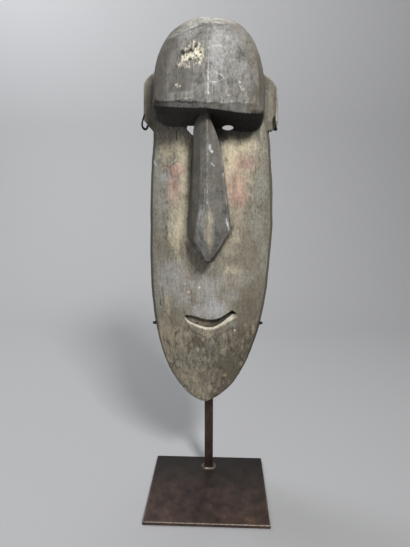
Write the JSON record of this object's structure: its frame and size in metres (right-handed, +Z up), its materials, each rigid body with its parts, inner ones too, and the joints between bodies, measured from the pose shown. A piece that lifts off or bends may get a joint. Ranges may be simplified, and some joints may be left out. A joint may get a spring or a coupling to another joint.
{
  "type": "wooden mask",
  "caption": "Tall carved wooden mask with an overhanging domed brow, arrow-shaped nose and crescent mouth, upright on a flat steel stand.",
  "frame": {"origin": "middle of the base plate's underside", "axes": "+Z up, -Y out of the front of the face, +X to the viewer's right"},
  "size_m": [0.2102, 0.1755, 0.778],
  "materials": {
    "carved_wood": "dry weathered grey-brown patina",
    "patinated_steel": "dark brown patina, satin",
    "blackened_rod": "blackened, satin"
  },
  "bodies": {
    "root": {"mask": "carved_wood", "base_plate": "patinated_steel", "post": "patinated_steel", "left_ear_hook": "blackened_rod", "right_ear_hook": "blackened_rod", "left_side_claw": "blackened_rod", "right_side_claw": "blackened_rod"}
  },
  "joints": []
}
